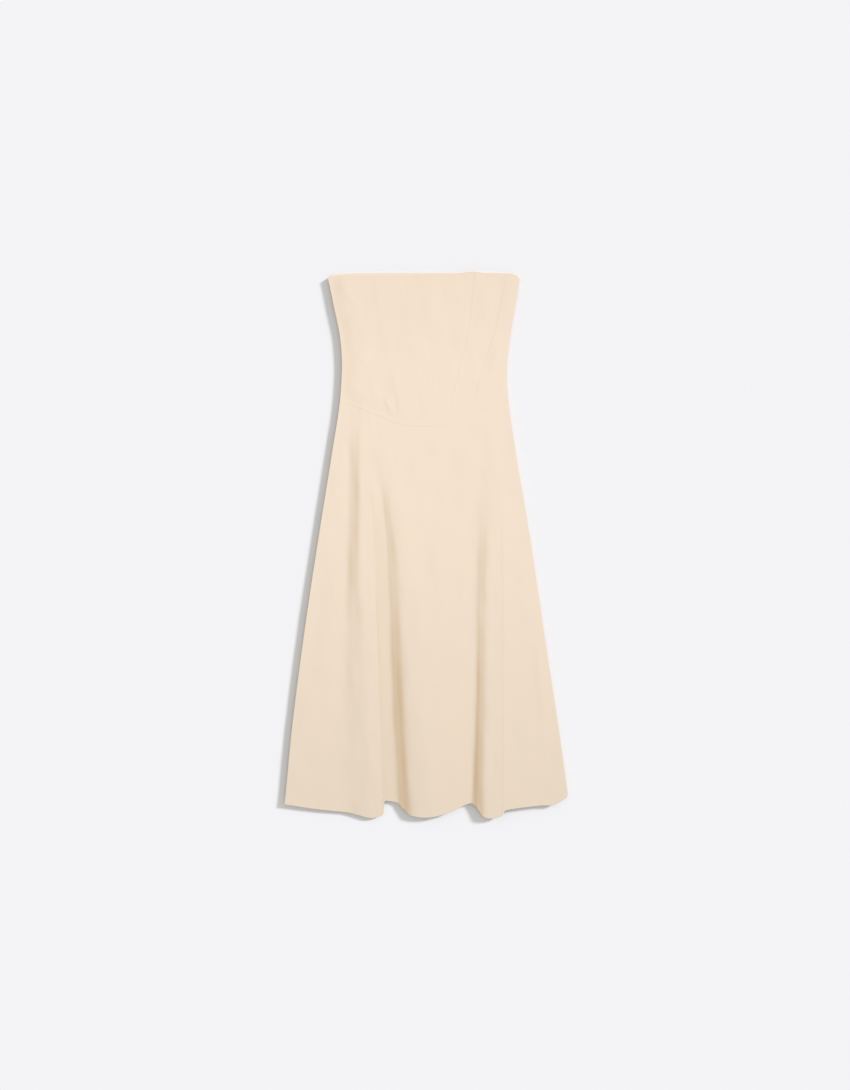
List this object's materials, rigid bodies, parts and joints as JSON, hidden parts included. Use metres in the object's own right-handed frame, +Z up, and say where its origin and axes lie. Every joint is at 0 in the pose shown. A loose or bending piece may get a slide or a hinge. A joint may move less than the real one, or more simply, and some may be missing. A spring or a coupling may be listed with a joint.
{
  "type": "strapless dress",
  "caption": "Strapless cream dress laid flat: a seamed bodice, a waist seam that dips to a point in front and a flared skirt lying in soft uneven folds.",
  "frame": {"origin": "on the surface that the dress lies on, under the middle of its outline", "axes": "+Z up from the surface, +Y towards the top edge of the bodice, +X to the right as seen from above"},
  "size_m": [0.5659, 1.0914, 0.0107],
  "materials": {
    "cream_cloth": "smooth matt dress cloth, warm cream"
  },
  "bodies": {
    "root": {"bodice_front_centre": "cream_cloth", "bodice_front_left": "cream_cloth", "bodice_front_right": "cream_cloth", "bodice_side_left": "cream_cloth", "bodice_side_right": "cream_cloth", "bodice_back_left": "cream_cloth", "bodice_back_right": "cream_cloth", "skirt_front": "cream_cloth", "skirt_back_left": "cream_cloth", "skirt_back_right": "cream_cloth"}
  },
  "joints": []
}
